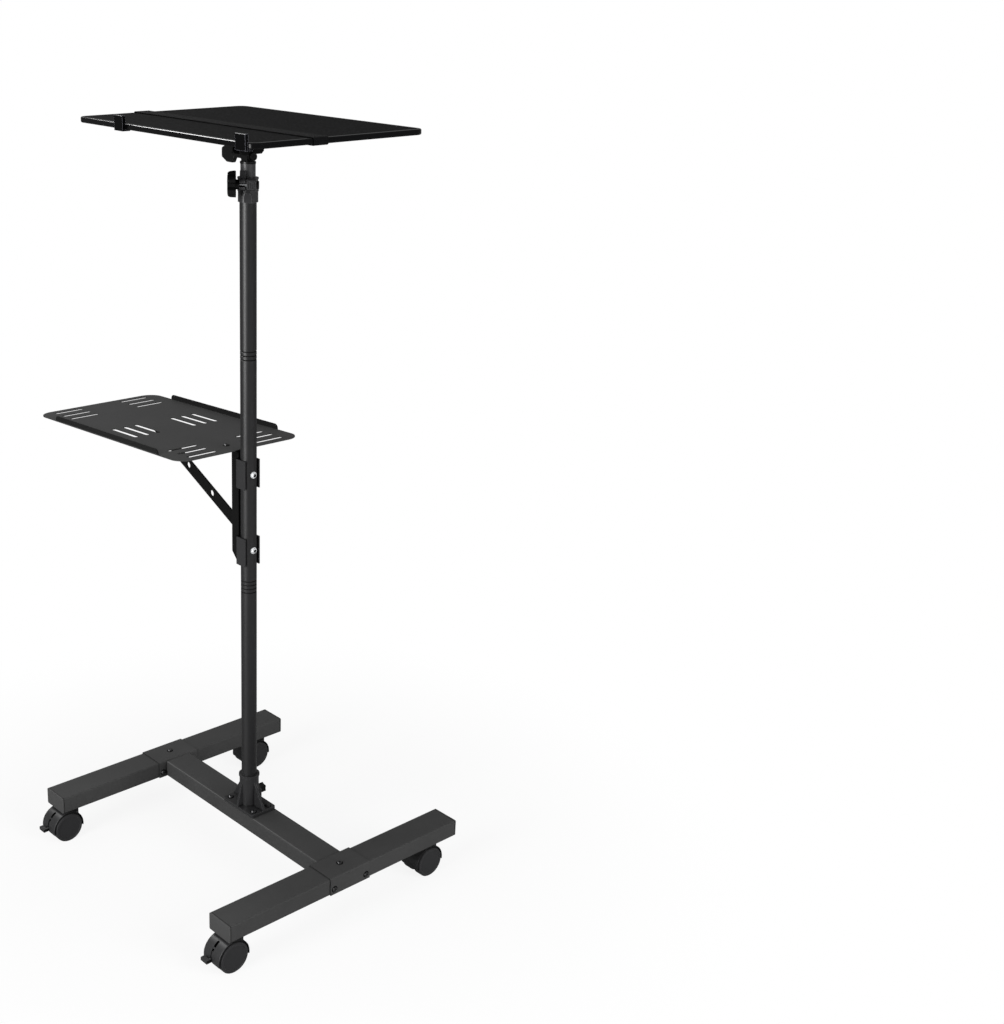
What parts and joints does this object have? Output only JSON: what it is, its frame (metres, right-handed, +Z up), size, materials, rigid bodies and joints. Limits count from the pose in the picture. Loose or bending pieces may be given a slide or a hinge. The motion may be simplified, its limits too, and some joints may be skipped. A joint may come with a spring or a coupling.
{
  "type": "portable projector stand",
  "caption": "Rolling stand with an H-shaped tube base on casters, a telescoping post, a tilting tray with a strap and rim stops, and a slotted side shelf.",
  "frame": {"origin": "on the floor, on the post's axis, midway between the feet", "axes": "+X along the feet away from the tray's rim stops, +Y along the cross beam to the shelf side, +Z up the post"},
  "size_m": [0.4846, 0.6922, 1.1941],
  "materials": {
    "powder_coat": "fine-textured powder coat",
    "post_coat": "satin powder coat",
    "black_plastic": "moulded, satin",
    "tray_panel": "moulded, satin edge",
    "grip_mat": "fine dimpled grip mat",
    "webbing": "woven polyester webbing",
    "caster_nylon": "moulded nylon",
    "caster_tread": "moulded nylon, matte"
  },
  "bodies": {
    "base": {"near_foot": "powder_coat", "far_foot": "powder_coat", "near_left_cap": "black_plastic", "near_right_cap": "black_plastic", "far_left_cap": "black_plastic", "far_right_cap": "black_plastic", "near_saddle": "powder_coat", "far_saddle": "powder_coat", "cross_beam": "powder_coat", "post_socket": "black_plastic", "socket_bolt": "black_plastic", "lower_tube": "post_coat", "middle_tube": "post_coat", "upper_tube": "post_coat", "height_collar": "black_plastic", "shelf": "powder_coat", "shelf_bracket": "powder_coat", "shelf_brace": "powder_coat"},
    "mast": {"inner_tube": "post_coat"},
    "head": {"pole_head": "black_plastic"},
    "tray": {"tilt_bracket": "powder_coat", "tray": "tray_panel", "tray_mat": "grip_mat", "near_stop": "black_plastic", "far_stop": "black_plastic", "strap": "webbing"},
    "collar_knob": {"collar_knob": "black_plastic"},
    "tilt_knob": {"tilt_knob": "black_plastic"},
    "near_left_caster": {"near_left_caster": "caster_nylon"},
    "near_left_wheels": {"near_left_wheels": "caster_tread"},
    "near_left_brake": {"near_left_brake": "caster_nylon"},
    "near_right_caster": {"near_right_caster": "caster_nylon"},
    "near_right_wheels": {"near_right_wheels": "caster_tread"},
    "far_left_caster": {"far_left_caster": "caster_nylon"},
    "far_left_wheels": {"far_left_wheels": "caster_tread"},
    "far_left_brake": {"far_left_brake": "caster_nylon"},
    "far_right_caster": {"far_right_caster": "caster_nylon"},
    "far_right_wheels": {"far_right_wheels": "caster_tread"}
  },
  "joints": [
    {"name": "mast_slide", "type": "slide", "parent": "base", "child": "mast", "axis": [0, 0, 1], "range_m": [0, 0.16]},
    {"name": "head_turn", "type": "hinge", "parent": "mast", "child": "head", "pos_m": [0, 0, 1.13], "axis": [0, 0, 1], "continuous": true},
    {"name": "tray_tilt", "type": "hinge", "parent": "head", "child": "tray", "pos_m": [0, 0, 1.1405], "axis": [0, -1, 0], "range_deg": [-16, 28]},
    {"name": "collar_knob_turn", "type": "hinge", "parent": "base", "child": "collar_knob", "pos_m": [-0.0151, -0.01865, 1.103], "axis": [-0.7771, 0.6293, 0], "range_deg": [0, 360]},
    {"name": "tilt_knob_turn", "type": "hinge", "parent": "tray", "child": "tilt_knob", "pos_m": [0, 0.045, 1.1405], "axis": [0, 1, 0], "range_deg": [0, 360]},
    {"name": "near_left_swivel", "type": "hinge", "parent": "base", "child": "near_left_caster", "pos_m": [-0.198, -0.232, 0.058], "axis": [0, 0, 1], "continuous": true},
    {"name": "near_left_roll", "type": "hinge", "parent": "near_left_caster", "child": "near_left_wheels", "pos_m": [-0.217, -0.232, 0.025], "axis": [0, 1, 0], "continuous": true},
    {"name": "near_left_brake_press", "type": "hinge", "parent": "near_left_caster", "child": "near_left_brake", "pos_m": [-0.23801, -0.232, 0.03306], "axis": [0, -1, 0], "range_deg": [0, 10]},
    {"name": "near_right_swivel", "type": "hinge", "parent": "base", "child": "near_right_caster", "pos_m": [0.198, -0.232, 0.058], "axis": [0, 0, 1], "continuous": true},
    {"name": "near_right_roll", "type": "hinge", "parent": "near_right_caster", "child": "near_right_wheels", "pos_m": [0.179, -0.232, 0.025], "axis": [0, 1, 0], "continuous": true},
    {"name": "far_left_swivel", "type": "hinge", "parent": "base", "child": "far_left_caster", "pos_m": [-0.198, 0.232, 0.058], "axis": [0, 0, 1], "continuous": true},
    {"name": "far_left_roll", "type": "hinge", "parent": "far_left_caster", "child": "far_left_wheels", "pos_m": [-0.217, 0.232, 0.025], "axis": [0, 1, 0], "continuous": true},
    {"name": "far_left_brake_press", "type": "hinge", "parent": "far_left_caster", "child": "far_left_brake", "pos_m": [-0.23801, 0.232, 0.03306], "axis": [0, -1, 0], "range_deg": [0, 10]},
    {"name": "far_right_swivel", "type": "hinge", "parent": "base", "child": "far_right_caster", "pos_m": [0.198, 0.232, 0.058], "axis": [0, 0, 1], "continuous": true},
    {"name": "far_right_roll", "type": "hinge", "parent": "far_right_caster", "child": "far_right_wheels", "pos_m": [0.179, 0.232, 0.025], "axis": [0, 1, 0], "continuous": true}
  ]
}
